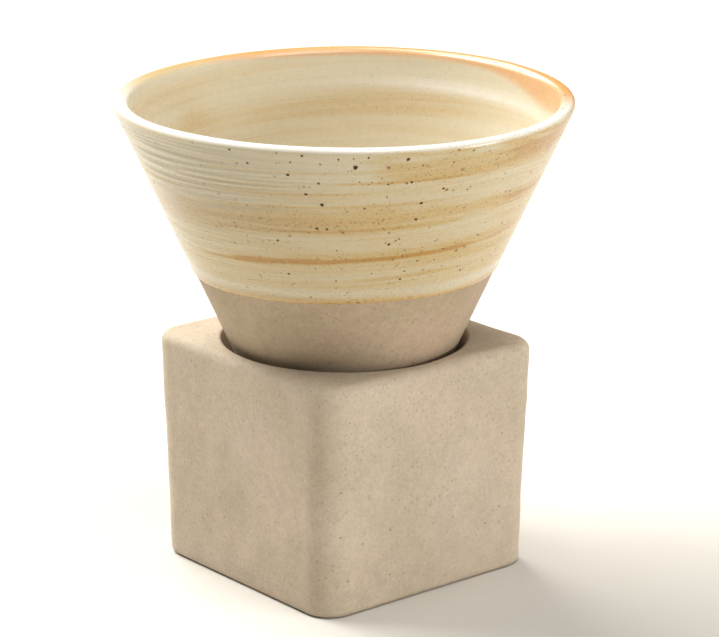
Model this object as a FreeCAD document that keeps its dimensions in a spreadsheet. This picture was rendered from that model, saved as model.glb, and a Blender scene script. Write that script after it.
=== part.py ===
"""A conical stoneware cup that stands in the conical well of a cube-shaped stoneware stand.

Three sub-parts, all in millimetres, +Z up, with the origin under the middle of the stand:
  stand      hollow cast cube, open underneath, its well let into the top
  cup_body   turned clay cone with a small foot ring
  cup_glaze  the coat of glaze on the inside, the lip and the upper outside of the cup
"""
import FreeCAD, Part
import math
import os
import re
import Sketcher

# name, value, what it is
DIMENSIONS = [
    ("wall_angle", 24.4, "lean of the cup's wall and of the well's, in degrees from upright"),
    ("rim_radius", 49.55, "glazed outside of the cup at the rim's plane, before rounding"),
    ("cup_height", 77.6, "foot to rim"),
    ("clay_thickness", 2.7, "cup wall without glaze"),
    ("glaze_thickness", 0.25, "coat of glaze"),
    ("glaze_line", 41.0, "height of the glaze's lower edge above the cup's foot"),
    ("lip_round", 0.95, "rounding of the clay lip, on both sides"),
    ("floor_height", 6.0, "clay floor inside, above the foot"),
    ("floor_round", 9.0, "rounding where the inside wall meets the floor"),
    ("foot_recess_radius", 9.0, "hollow under the cup's foot"),
    ("foot_recess_depth", 1.2, "depth of that hollow"),
    ("foot_round", 0.8, "rounding of the foot ring's outer edge"),
    ("stand_height", 50.8, "table to the stand's top face"),
    ("stand_foot_side", 58.1, "side of the square at the table"),
    ("stand_draft", 1.24, "outward lean of the stand's sides, in degrees"),
    ("corner_round", 6.4, "rounding of the four upright corners"),
    ("top_edge_round", 2.2, "rounding round the stand's top"),
    ("foot_edge_round", 1.4, "rounding round the stand's foot"),
    ("hollow_side", 47.6, "side of the square hollow underneath"),
    ("hollow_depth", 45.0, "depth of that hollow"),
    ("hollow_round", 4.0, "rounding of the hollow's upright corners"),
    ("well_mouth_radius", 26.85, "well at the stand's top face"),
    ("well_lip_round", 0.8, "rounding of the well's mouth"),
    ("well_floor_round", 2.0, "rounding round the well's floor"),
    ("seat_height", 26.2, "the well's floor, which the cup stands on"),
    ("well_wall", 4.6, "wall and floor thickness round the well"),
    ("jacket_radius", 28.0, "where the well's own wall runs into the stand's sides"),
]

GROUND = -1  # Sketcher's index of the horizontal axis, and of the origin as its first point
UPRIGHT = -2  # Sketcher's index of the vertical axis
FIRST, LAST = 1, 2  # the two ends of a sketched line

doc = FreeCAD.newDocument("cup_and_stand")


def make_sheet():
    """Puts the driving dimensions in a spreadsheet, one alias for each."""
    sheet = doc.addObject("Spreadsheet::Sheet", "dimensions")
    for row, (name, value, meaning) in enumerate(DIMENSIONS, start=1):
        sheet.set(f"A{row}", name)
        sheet.set(f"B{row}", str(value))
        sheet.set(f"C{row}", meaning)
        sheet.setAlias(f"B{row}", name)
    doc.recompute()
    return sheet


sheet = make_sheet()


def size(name):
    """The value of one driving dimension."""
    return float(sheet.get(name))


def cell(words):
    """An expression with every dimension's name pointed at the spreadsheet. LEAN is the wall's angle."""
    words = words.replace("LEAN", "(wall_angle * 1 deg)")
    for name, _, _ in DIMENSIONS:
        words = re.sub(rf"\b{name}\b", f"dimensions.{name}", words)
    return words


def new_body(name):
    body = doc.addObject("PartDesign::Body", name)
    body.Label = name
    return body


def plane_of(body, role):
    return next(f for f in body.Origin.OriginFeatures if f.Role == role)


def new_sketch(body, name, role):
    sketch = body.newObject("Sketcher::SketchObject", name)
    sketch.AttachmentSupport = [(plane_of(body, role), "")]
    sketch.MapMode = "FlatFace"
    return sketch


def closed_outline(sketch, points):
    """Sketches straight lines through points and back to the first, joined end to end."""
    count = len(points)
    for i, (across, up) in enumerate(points):
        next_across, next_up = points[(i + 1) % count]
        start, end = FreeCAD.Vector(across, up, 0), FreeCAD.Vector(next_across, next_up, 0)
        sketch.addGeometry(Part.LineSegment(start, end), False)
    for i in range(count):
        sketch.addConstraint(Sketcher.Constraint("Coincident", i, LAST, (i + 1) % count, FIRST))


def dimension(sketch, name, constraint, words):
    """Adds a named dimension to a sketch and binds it to an expression."""
    index = sketch.addConstraint(constraint)
    sketch.renameConstraint(index, name)
    sketch.setExpression(f"Constraints.{name}", cell(words))


def across(line, value=1.0):
    """How far a line's first point is from the upright axis."""
    return Sketcher.Constraint("DistanceX", GROUND, FIRST, line, FIRST, value)


def up(line, value=1.0):
    """How high a line's first point is."""
    return Sketcher.Constraint("DistanceY", GROUND, FIRST, line, FIRST, value)


def level(sketch, *lines):
    for line in lines:
        sketch.addConstraint(Sketcher.Constraint("Horizontal", line))


def upright(sketch, *lines):
    for line in lines:
        sketch.addConstraint(Sketcher.Constraint("Vertical", line))


def on_axis(sketch, *lines):
    """Puts the first point of each line on the upright axis."""
    for line in lines:
        sketch.addConstraint(Sketcher.Constraint("PointOnObject", line, FIRST, UPRIGHT))


def leaning(sketch, name, line, lean):
    """Holds a line that runs up and outwards at the wall's angle."""
    turn = Sketcher.Constraint("Angle", GROUND, FIRST, line, FIRST, FreeCAD.Units.Quantity(f"{90 - lean} deg"))
    dimension(sketch, name, turn, "90 deg - LEAN")


def spun(body, kind, name, sketch):
    """A Revolution or Groove of a sketch all the way round the upright axis."""
    feature = body.newObject(f"PartDesign::{kind}", name)
    feature.Profile = sketch
    feature.ReferenceAxis = (sketch, ["V_Axis"])
    feature.Angle = 360
    doc.recompute()
    return feature


def rounded(body, name, base, wanted, radius):
    """Fillets the edges of base whose middle passes the test wanted(point, edge)."""
    edges = []
    for i, edge in enumerate(base.Shape.Edges, start=1):
        middle = edge.valueAt((edge.FirstParameter + edge.LastParameter) / 2)
        if wanted(middle, edge):
            edges.append(f"Edge{i}")
    if not edges:
        raise RuntimeError(f"{name} found no edge to round")
    feature = body.newObject("PartDesign::Fillet", name)
    feature.Base = (base, edges)
    feature.setExpression("Radius", cell(radius))
    doc.recompute()
    return feature


def is_circle(edge, radius, height):
    """True for a level circle of that radius at that height, within a hundredth of a millimetre."""
    if not isinstance(edge.Curve, Part.Circle):
        return False
    return abs(edge.Curve.Radius - radius) < 0.01 and abs(edge.Curve.Center.z - height) < 0.01


def tangent_of_lean():
    return math.tan(math.radians(size("wall_angle")))


def cosine_of_lean():
    return math.cos(math.radians(size("wall_angle")))


def square_sketch(body, name, side_words, side):
    """A square centred on the origin, in the ground plane."""
    sketch = new_sketch(body, name, "XY_Plane")
    half = side / 2
    closed_outline(sketch, [(-half, -half), (half, -half), (half, half), (-half, half)])
    level(sketch, 0, 2)
    upright(sketch, 1, 3)
    middle = Sketcher.Constraint("Symmetric", 0, FIRST, 2, FIRST, GROUND, FIRST)
    sketch.addConstraint(middle)
    dimension(sketch, "width", Sketcher.Constraint("DistanceX", 0, FIRST, 0, LAST, side), side_words)
    dimension(sketch, "depth", Sketcher.Constraint("DistanceY", 1, FIRST, 1, LAST, side), side_words)
    return sketch


def stand_block(body):
    """The solid block: a square pad whose sides lean out, with every outer edge rounded."""
    foot = square_sketch(body, "foot_square", "stand_foot_side", size("stand_foot_side"))
    block = body.newObject("PartDesign::Pad", "block")
    block.Profile = foot
    block.setExpression("Length", cell("stand_height"))
    block.setExpression("TaperAngle", cell("stand_draft * 1 deg"))
    doc.recompute()
    height = size("stand_height")
    corners = rounded(
        body, "corner_rounds", block,
        lambda p, e: abs(p.z - height / 2) < 1, "corner_round")
    top = rounded(
        body, "top_edge_rounds", corners,
        lambda p, e: abs(p.z - height) < 0.01, "top_edge_round")
    return rounded(
        body, "foot_edge_rounds", top,
        lambda p, e: abs(p.z) < 0.01, "foot_edge_round")


def stand_hollow(body):
    """The hollow that the casting leaves, open underneath."""
    outline = square_sketch(body, "hollow_square", "hollow_side", size("hollow_side"))
    hollow = body.newObject("PartDesign::Pocket", "hollow")
    hollow.Profile = outline
    hollow.Reversed = True
    hollow.setExpression("Length", cell("hollow_depth"))
    doc.recompute()
    half, middle = size("hollow_side") / 2, size("hollow_depth") / 2
    return rounded(
        body, "hollow_rounds", hollow,
        lambda p, e: abs(p.z - middle) < 1 and abs(abs(p.x) - half) < 0.01 and abs(abs(p.y) - half) < 0.01,
        "hollow_round")


def well_jacket(body):
    """The clay round the well, seen from below as a blunt cone that hangs in the hollow."""
    lean, seat = tangent_of_lean(), size("seat_height")
    bottom = seat - size("well_wall")
    top = size("stand_height") - size("well_wall") / 2
    reach = size("jacket_radius")
    low = size("well_mouth_radius") - (size("stand_height") - bottom) * lean
    low += size("well_wall") / cosine_of_lean()
    knee = bottom + (reach - low) / lean
    sketch = new_sketch(body, "jacket_outline", "XZ_Plane")
    closed_outline(sketch, [(0, bottom), (low, bottom), (reach, knee), (reach, top), (0, top)])
    on_axis(sketch, 0, 4)
    level(sketch, 0, 3)
    upright(sketch, 2)
    leaning(sketch, "lean", 1, size("wall_angle"))
    dimension(sketch, "bottom", up(0, bottom), "seat_height - well_wall")
    dimension(sketch, "top", up(4, top), "stand_height - well_wall / 2")
    dimension(sketch, "reach", across(3, reach), "jacket_radius")
    dimension(
        sketch, "low", across(1, low),
        "well_mouth_radius - (stand_height - seat_height + well_wall) * tan(LEAN) + well_wall / cos(LEAN)")
    return spun(body, "Revolution", "jacket", sketch)


def well_cut(body):
    """The well itself, with a rounded mouth and a flat floor for the cup's foot."""
    lean, seat, top = tangent_of_lean(), size("seat_height"), size("stand_height")
    mouth = size("well_mouth_radius")
    floor_radius = mouth - (top - seat) * lean
    sketch = new_sketch(body, "well_outline", "XZ_Plane")
    closed_outline(sketch, [(0, seat), (floor_radius, seat), (mouth, top), (0, top)])
    on_axis(sketch, 0, 3)
    level(sketch, 0, 2)
    dimension(sketch, "seat", up(0, seat), "seat_height")
    dimension(sketch, "top", up(3, top), "stand_height")
    dimension(sketch, "mouth", across(2, mouth), "well_mouth_radius")
    leaning(sketch, "lean", 1, size("wall_angle"))
    well = spun(body, "Groove", "well", sketch)
    lip = rounded(
        body, "well_lip_rounds", well,
        lambda p, e: is_circle(e, mouth, top), "well_lip_round")
    return rounded(
        body, "well_floor_rounds", lip,
        lambda p, e: is_circle(e, floor_radius, seat), "well_floor_round")


def make_stand():
    """The cube-shaped stand, as one cast piece."""
    body = new_body("stand")
    stand_block(body)
    solid = body.Shape.Volume
    stand_hollow(body)
    if body.Shape.Volume > 0.6 * solid:
        raise RuntimeError("the hollow cut too little out of the stand")
    well_jacket(body)
    jacketed = body.Shape.Volume
    body.Tip = well_cut(body)
    doc.recompute()
    if body.Shape.Volume > jacketed - 1000:
        raise RuntimeError("the well cut nothing out of the stand")
    return body


def make_cup_body():
    """The turned clay of the cup, from the foot ring's hollow round to the floor inside."""
    lean, slant = tangent_of_lean(), cosine_of_lean()
    coat, clay = size("glaze_thickness"), size("clay_thickness")
    top = size("cup_height") - coat
    rim = size("rim_radius") - coat * lean - coat / slant
    foot = rim - top * lean
    floor = size("floor_height")
    inner_rim = rim - clay / slant
    inner_floor = inner_rim - (top - floor) * lean
    recess_radius, recess = size("foot_recess_radius"), size("foot_recess_depth")
    body = new_body("cup_body")
    sketch = new_sketch(body, "cup_outline", "XZ_Plane")
    closed_outline(sketch, [
        (0, recess), (recess_radius, recess), (recess_radius, 0), (foot, 0),
        (rim, top), (inner_rim, top), (inner_floor, floor), (0, floor)])
    on_axis(sketch, 0, 7)
    level(sketch, 0, 2, 4, 6)
    upright(sketch, 1)
    sketch.addConstraint(Sketcher.Constraint("PointOnObject", 2, FIRST, GROUND))
    leaning(sketch, "lean", 3, size("wall_angle"))
    sketch.addConstraint(Sketcher.Constraint("Parallel", 3, 5))
    dimension(sketch, "clay", Sketcher.Constraint("Distance", 5, FIRST, 3, clay), "clay_thickness")
    dimension(sketch, "recess_radius", across(1, recess_radius), "foot_recess_radius")
    dimension(sketch, "recess_depth", up(0, recess), "foot_recess_depth")
    dimension(
        sketch, "rim", across(4, rim),
        "rim_radius - glaze_thickness * tan(LEAN) - glaze_thickness / cos(LEAN)")
    dimension(sketch, "top", up(4, top), "cup_height - glaze_thickness")
    dimension(sketch, "floor", up(7, floor), "floor_height")
    cone = spun(body, "Revolution", "cone", sketch)
    lip = rounded(
        body, "lip_rounds", cone,
        lambda p, e: is_circle(e, rim, top) or is_circle(e, inner_rim, top), "lip_round")
    inside = rounded(
        body, "floor_rounds", lip,
        lambda p, e: is_circle(e, inner_floor, floor), "floor_round")
    body.Tip = rounded(
        body, "foot_rounds", inside,
        lambda p, e: is_circle(e, foot, 0), "foot_round")
    body.setExpression("Placement.Base.z", cell("seat_height"))
    doc.recompute()
    return body


def make_glazed_envelope():
    """The cup's glazed faces with their coat on, closed through the middle of the clay."""
    lean, slant = tangent_of_lean(), cosine_of_lean()
    coat, clay = size("glaze_thickness"), size("clay_thickness")
    top, rim, line = size("cup_height"), size("rim_radius"), size("glaze_line")
    floor = size("floor_height") + coat
    core = size("floor_height") - clay / 2
    inner_rim = rim - (clay + 2 * coat) / slant
    inner_floor = inner_rim - (top - floor) * lean
    line_radius = rim - (top - line) * lean
    middle_radius = line_radius - (coat + clay / 2) / slant
    core_radius = middle_radius - (line - core) * lean
    body = new_body("glazed_envelope")
    sketch = new_sketch(body, "envelope_outline", "XZ_Plane")
    closed_outline(sketch, [
        (0, floor), (inner_floor, floor), (inner_rim, top), (rim, top),
        (line_radius, line), (middle_radius, line), (core_radius, core), (0, core)])
    on_axis(sketch, 0, 7)
    level(sketch, 0, 2, 4, 6)
    leaning(sketch, "lean", 1, size("wall_angle"))
    sketch.addConstraint(Sketcher.Constraint("Parallel", 1, 3))
    sketch.addConstraint(Sketcher.Constraint("Parallel", 1, 5))
    dimension(sketch, "floor", up(0, floor), "floor_height + glaze_thickness")
    dimension(sketch, "core", up(7, core), "floor_height - clay_thickness / 2")
    dimension(sketch, "rim", across(3, rim), "rim_radius")
    dimension(sketch, "top", up(3, top), "cup_height")
    dimension(
        sketch, "wall", Sketcher.Constraint("Distance", 1, LAST, 3, clay + 2 * coat),
        "clay_thickness + 2 * glaze_thickness")
    dimension(
        sketch, "middle", Sketcher.Constraint("Distance", 5, FIRST, 3, clay / 2 + coat),
        "clay_thickness / 2 + glaze_thickness")
    dimension(sketch, "line", up(4, line), "glaze_line")
    cone = spun(body, "Revolution", "envelope", sketch)
    lip = rounded(
        body, "glazed_lip_rounds", cone,
        lambda p, e: is_circle(e, rim, top) or is_circle(e, inner_rim, top),
        "lip_round + glaze_thickness")
    body.Tip = rounded(
        body, "glazed_floor_rounds", lip,
        lambda p, e: is_circle(e, inner_floor, floor), "floor_round - glaze_thickness")
    body.setExpression("Placement.Base.z", cell("seat_height"))
    doc.recompute()
    return body


def make_cup_glaze(envelope, clay):
    """What is left of the envelope when the clay is taken out of it: the coat alone."""
    coat = doc.addObject("Part::Cut", "cup_glaze")
    coat.Label = "cup_glaze"
    coat.Base = envelope
    coat.Tool = clay
    doc.recompute()
    return coat


def check(objects):
    """Stops if any object of the document failed, or a sub-part isn't one valid solid."""
    for item in doc.Objects:
        if any(state in ("Invalid", "Error") for state in item.State):
            raise RuntimeError(f"{item.Label} failed: {item.State}")
    for item in objects:
        shape = item.Shape
        if shape.isNull() or not shape.isValid() or len(shape.Solids) != 1:
            raise RuntimeError(f"{item.Label} is not one valid solid")
        box = shape.BoundBox
        print(
            f"{item.Label}: {shape.Volume / 1000:.1f} cm3, {box.XLength:.2f} x {box.YLength:.2f} mm,"
            f" z {box.ZMin:.2f} to {box.ZMax:.2f} mm")


stand = make_stand()
cup_body = make_cup_body()
cup_glaze = make_cup_glaze(make_glazed_envelope(), cup_body)
check([stand, cup_body, cup_glaze])
os.makedirs("parts", exist_ok=True)
for piece in (stand, cup_body, cup_glaze):
    piece.Shape.exportStep(f"parts/{piece.Label}.step")
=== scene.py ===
# %% [markdown]
# A conical stoneware cup that stands in a cube of the same clay.
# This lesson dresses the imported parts. The frame gives each part's place and how it moves, and every
# cell below adds one thing: the fired clay, the thrown wall, the glaze, the iron spots, the light.

# %% Load the frame
import math

import bpy
import numpy as np
from mathutils import Matrix, Vector


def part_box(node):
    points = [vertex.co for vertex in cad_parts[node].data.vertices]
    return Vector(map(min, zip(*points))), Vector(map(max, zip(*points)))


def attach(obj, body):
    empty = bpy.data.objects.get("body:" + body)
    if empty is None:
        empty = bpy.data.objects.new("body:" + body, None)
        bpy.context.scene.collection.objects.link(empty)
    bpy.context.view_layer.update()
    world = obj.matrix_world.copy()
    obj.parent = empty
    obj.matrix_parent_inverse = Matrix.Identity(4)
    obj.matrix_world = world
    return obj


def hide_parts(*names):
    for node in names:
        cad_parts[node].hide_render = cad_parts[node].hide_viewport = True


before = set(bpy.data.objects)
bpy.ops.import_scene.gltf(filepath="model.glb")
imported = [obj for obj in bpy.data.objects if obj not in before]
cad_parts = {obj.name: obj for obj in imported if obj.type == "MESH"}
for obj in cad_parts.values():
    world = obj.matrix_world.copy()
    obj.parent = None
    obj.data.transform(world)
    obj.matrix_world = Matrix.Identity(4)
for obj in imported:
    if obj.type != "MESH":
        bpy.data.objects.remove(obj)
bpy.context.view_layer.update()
MM = 0.001

# %% [markdown]
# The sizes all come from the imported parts. Clay and glaze are measured from their boxes, and the few
# numbers a box can't give, such as the lean of the wall, are those of the part itself.

# %% Measure the parts
STAND_LOW, STAND_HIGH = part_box("stand")
CLAY_LOW, CLAY_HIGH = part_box("cup_body")
GLAZE_LOW, GLAZE_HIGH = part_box("cup_glaze")

STAND_TOP = STAND_HIGH.z / MM
SEAT = CLAY_LOW.z / MM  # the well's floor, where the cup stands
CLAY_TOP = CLAY_HIGH.z / MM
RIM_TOP = GLAZE_HIGH.z / MM
LEAN = math.radians(24.4)  # of the cup's wall and the well's, from upright
SLOPE = math.tan(LEAN)
COAT = RIM_TOP - CLAY_TOP  # thickness of the glaze
CLAY = 2.7  # thickness of the cup's clay
GLAZE_RIM = 49.55  # radius where the lines of the glaze's outer wall and its top would meet
CLAY_RIM = GLAZE_RIM - COAT * (SLOPE + 1 / math.cos(LEAN))  # the same radius for the clay
GLAZE_EDGE = SEAT + 41.0
print(f"stand {STAND_TOP:.1f} mm high, cup from {SEAT:.1f} to {RIM_TOP:.1f} mm, coat {COAT:.2f} mm")


def clay_outside(z):
    """Radius of the clay's outer wall at height z: a straight line that leans out."""
    return CLAY_RIM - (CLAY_TOP - z) * SLOPE


# %% [markdown]
# Every face here is a ring carried along a profile. A profile is a drawn line in the plane of radius and
# height, with its corners rounded the way a wet sponge rounds clay. One rule turns a corner into an arc,
# so the same helper draws the stand's foot, the cup's floor and the lip.


# %% Draw a profile
def rounded_profile(corners):
    """Rows of (reach, height, flat) along straight runs whose corners are arcs.

    corners holds (reach, height, flat, radius, points on the arc, points on the run that follows).
    An arc of radius r in a corner of half angle h touches both runs at r / tan(h) from the corner, and
    its centre is r / sin(h) away along the corner's bisector. flat runs in proportion along each run.
    """
    pieces, spot = [], np.array([c[:2] for c in corners], float)
    for i, (_, _, flat, radius, count, _) in enumerate(corners):
        if radius == 0:
            pieces.append(np.array([[*spot[i], flat]]))
            continue
        back, on = spot[i - 1] - spot[i], spot[i + 1] - spot[i]
        back, on = back / np.linalg.norm(back), on / np.linalg.norm(on)
        half = math.acos(np.clip(back @ on, -1, 1)) / 2
        middle = back + on
        centre = spot[i] + middle / np.linalg.norm(middle) * radius / math.sin(half)
        first = spot[i] + back * radius / math.tan(half) - centre
        last = spot[i] + on * radius / math.tan(half) - centre
        sweep = math.pi - 2 * half
        t = np.linspace(0, 1, count)[:, None]
        arc = centre + (np.sin((1 - t) * sweep) * first + np.sin(t * sweep) * last) / math.sin(sweep)
        pieces.append(np.column_stack([arc, np.full(count, float(flat))]))
    rows = [pieces[0]]
    for corner, here, after in zip(corners, pieces, pieces[1:]):
        t = np.linspace(0, 1, corner[5] + 2)[1:-1, None]
        rows.append(here[-1] * (1 - t) + after[0] * t)
        rows.append(after)
    return np.vstack(rows)


def square_reach(angle, reach, flat):
    """Distance from the axis to a rounded square's outline, in the direction angle.

    reach is half the side and flat half the straight part, so the corner's radius is reach - flat, and
    flat 0 is a circle. Past the straight part the line meets the arc about (flat, flat), where
    d = flat s + sqrt((reach - flat)^2 - flat^2 (cos - sin)^2), with s = cos + sin of the folded angle.
    """
    fold = np.abs((angle + math.pi / 4) % (math.pi / 2) - math.pi / 4)
    c, s = np.cos(fold), np.sin(fold)
    straight = reach / c
    inside = np.maximum((reach - flat) ** 2 - (flat * (c - s)) ** 2, 0)
    arc = flat * (c + s) + np.sqrt(inside)
    return np.where(straight * s <= flat, straight, arc)


def rings_from(profile, angle):
    """Grid of points (profile row, angle): each row of the profile is carried once round the axis."""
    reach, height, flat = (profile[:, k][:, None] for k in range(3))
    far = square_reach(angle[None, :], reach, flat)
    return np.stack([far * np.cos(angle), far * np.sin(angle), height + 0 * far], axis=-1)


# %% [markdown]
# Hand-made clay is never quite true. A sum of a few dozen soft waves with seeded directions gives a smooth
# unevenness that is the same on every run and has no seam, because it is read at places in space.


# %% Soft unevenness
WAVES = 28


def soft_waves(points, length, seed, stretch=(1, 1, 1)):
    """Smooth noise between about -1 and 1 at points in mm: a sum of cosines over 1.6 times its usual size.

    Each cosine runs in its own direction, with a wavelength near length and a phase of its own. stretch
    makes the waves longer along X, Y or Z. The usual size of a sum of n cosines is sqrt(n / 2).
    """
    draw = np.random.default_rng(seed)
    heading = draw.normal(size=(WAVES, 3))
    heading /= np.linalg.norm(heading, axis=1)[:, None]
    heading *= (2 * math.pi / length) * draw.uniform(0.6, 1.5, (WAVES, 1)) / np.array(stretch)
    phase = draw.uniform(0, 2 * math.pi, WAVES)
    total = np.zeros(points.shape[:-1])
    for k in range(WAVES):
        total += np.cos(points @ heading[k] + phase[k])
    return total / math.sqrt(WAVES / 2) / 1.6


def ease(value, low, high):
    """0 below low, 1 above high, and a smooth S between: 3t^2 - 2t^3."""
    t = np.clip((value - low) / (high - low), 0, 1)
    return t * t * (3 - 2 * t)


def bell(value, centre, width):
    """A soft band: exp(-((value - centre) / width)^2)."""
    return np.exp(-(((value - centre) / width) ** 2))


# %% [markdown]
# A skin is the mesh of one closed surface. Its first and last rings have no size, so each becomes one
# point with a fan of triangles, and the surface has no hole there. Quads fill the rest, turned so that
# their normals point out of the clay.


# %% Make a skin
def skin(name, rings, body, node, material):
    """Makes a mesh of the grid rings in mm, a piece that replaces node and rides on body."""
    count, around = rings.shape[:2]
    points = np.vstack([rings[0].mean(0)[None], rings[1:-1].reshape(-1, 3), rings[-1].mean(0)[None]]) * MM
    ring, step = np.meshgrid(np.arange(count - 3), np.arange(around), indexing="ij")
    after = (step + 1) % around
    low, high = 1 + ring * around, 1 + (ring + 1) * around
    quads = np.stack([low + step, high + step, high + after, low + after], axis=-1).reshape(-1, 4)
    turn = np.arange(around)
    onward = (turn + 1) % around
    last = 1 + (count - 3) * around
    near_fan = np.column_stack([np.zeros(around, int), 1 + turn, 1 + onward])
    far_fan = np.column_stack([np.full(around, len(points) - 1), last + onward, last + turn])
    corners = np.concatenate([quads.ravel(), near_fan.ravel(), far_fan.ravel()])
    sides = np.concatenate([np.full(len(quads), 4), np.full(2 * around, 3)])
    mesh = bpy.data.meshes.new(name)
    mesh.vertices.add(len(points))
    mesh.vertices.foreach_set("co", points.ravel())
    mesh.loops.add(len(corners))
    mesh.loops.foreach_set("vertex_index", corners)
    mesh.polygons.add(len(sides))
    mesh.polygons.foreach_set("loop_start", np.concatenate([[0], np.cumsum(sides)[:-1]]))
    mesh.polygons.foreach_set("use_smooth", np.ones(len(sides), bool))
    mesh.update(calc_edges=True)
    mesh.validate()
    mesh.materials.append(material)
    piece = bpy.data.objects.new(name, mesh)
    bpy.context.scene.collection.objects.link(piece)
    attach(piece, body)
    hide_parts(node)
    print(f"{name}: {len(points)} points, {int((sides - 2).sum())} triangles")
    return piece


def paint_points(piece, name, grid):
    """Stores one number for each point of a skin, given on the same grid as its rings."""
    values = np.concatenate([[grid[0].mean()], grid[1:-1].ravel(), [grid[-1].mean()]])
    layer = piece.data.attributes.new(name, "FLOAT", "POINT")
    layer.data.foreach_set("value", values.astype(np.float32))


# %% [markdown]
# A material is a small set of nodes joined by hand. Fired clay and glaze both need the same few: a noise
# read at the piece's own coordinates, a ramp that turns it into a colour, a mix. Three helpers keep each
# material short enough to read.


# %% Node helpers
def new_material(name):
    """A material with its node tree and its main shader."""
    material = bpy.data.materials.new(name)
    material.use_nodes = True
    return material, material.node_tree, material.node_tree.nodes["Principled BSDF"]


def add_node(tree, kind, settings=None, **inputs):
    """Adds a node, sets its properties, and fills its sockets with values or links."""
    node = tree.nodes.new("ShaderNode" + kind)
    for key, value in (settings or {}).items():
        setattr(node, key, value)
    for key, value in inputs.items():
        socket = node.inputs[int(key[1:])] if key[1:].isdigit() else node.inputs[key.replace("_", " ")]
        if isinstance(value, bpy.types.NodeSocket):
            tree.links.new(value, socket)
        else:
            socket.default_value = value
    return node


def maths(tree, operation, first, second=0.0, third=0.0):
    """One step of arithmetic. MULTIPLY_ADD gives first * second + third."""
    node = add_node(tree, "Math", {"operation": operation}, i0=first, i1=second, i2=third)
    return node.outputs[0]


def blend_colour(tree, share, first, second, how="MIX"):
    """Mixes two colours by share, from 0 for the first to 1 for the second."""
    node = add_node(tree, "Mix", {"data_type": "RGBA", "blend_type": how}, i0=share)
    for index, value in ((6, first), (7, second)):
        if isinstance(value, bpy.types.NodeSocket):
            tree.links.new(value, node.inputs[index])
        else:
            node.inputs[index].default_value = (*value, 1)
    return node.outputs[2]


def spread(tree, value, low, high, to_low=0.0, to_high=1.0):
    """A value between low and high, spread smoothly over to_low to to_high."""
    settings = {"interpolation_type": "SMOOTHSTEP"}
    node = add_node(tree, "MapRange", settings, Value=value, From_Min=low, From_Max=high,
                    To_Min=to_low, To_Max=to_high)
    return node.outputs["Result"]


def own_place(tree, scale=(1, 1, 1), turn=(0, 0, 0)):
    """The piece's own coordinates, turned and then scaled."""
    place = add_node(tree, "TexCoord").outputs["Object"]
    turned = add_node(tree, "Mapping", Vector=place, Rotation=turn).outputs[0]
    return add_node(tree, "Mapping", Vector=turned, Scale=scale).outputs[0]


def noise(tree, place, scale, detail=3.0, roughness=0.55):
    """Cloudy noise from 0 to 1, with scale clouds to a metre."""
    node = add_node(tree, "TexNoise", Vector=place, Scale=scale, Detail=detail, Roughness=roughness)
    return node.outputs["Fac"]


def specks(tree, place, scale, size, share):
    """Dots scattered in the body of the clay: 1 inside a dot and 0 outside.

    Each cell of the scatter has one point. A dot is where the distance to it is under size, and a share
    of the cells, picked by the cell's own random colour, have a dot at all.
    """
    cells = add_node(tree, "TexVoronoi", Vector=place, Scale=scale)
    pick = add_node(tree, "SeparateColor", Color=cells.outputs["Color"])
    chosen = maths(tree, "LESS_THAN", pick.outputs[0], share)
    reach = maths(tree, "MULTIPLY_ADD", pick.outputs[1], size, size * 0.35)
    ratio = maths(tree, "DIVIDE", cells.outputs["Distance"], reach)
    return maths(tree, "MULTIPLY", spread(tree, ratio, 1.0, 0.6), chosen)


# %% [markdown]
# Unglazed stoneware is matt and slightly sandy. Grains of sand and grog in the body fire a little lighter
# or darker than the clay round them, iron shows as tiny brown specks, and the kiln leaves broad, faint
# clouds of colour. An image wrapped round the block would show its seams. All of this sits in the body of
# the clay, so it is read in space. A little sheen stands for the dust of a dry, unglazed face.


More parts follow.
